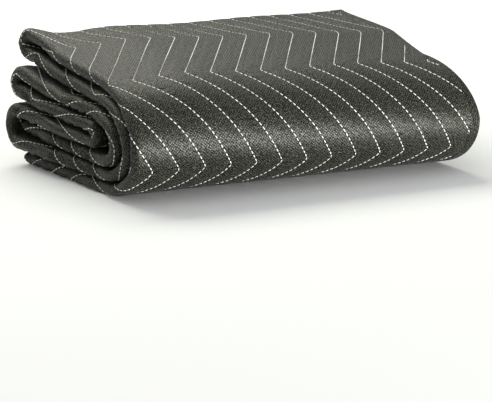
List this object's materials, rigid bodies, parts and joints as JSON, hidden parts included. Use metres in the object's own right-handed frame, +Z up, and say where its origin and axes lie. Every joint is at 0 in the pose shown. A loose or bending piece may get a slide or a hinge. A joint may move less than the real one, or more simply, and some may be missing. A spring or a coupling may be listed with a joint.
{
  "type": "folded moving pad",
  "caption": "Quilted cotton moving pad, folded lengthwise and then back and forth into a low block with looped back edges and one rounded front",
  "frame": {"origin": "Middle of the footprint at the height of the surface that the pad rests on", "axes": "X runs along the rounded front fold, towards the open right end; Y runs from the front fold to the looped back edges; Z is up"},
  "size_m": [0.4732, 0.3726, 0.1551],
  "materials": {
    "woven_charcoal_cloth": "dark grey twill weave of cotton and polyester, matte with a soft sheen, stitched in zigzag lines"
  },
  "bodies": {
    "root": {"moving_pad_cloth": "woven_charcoal_cloth"}
  },
  "joints": []
}
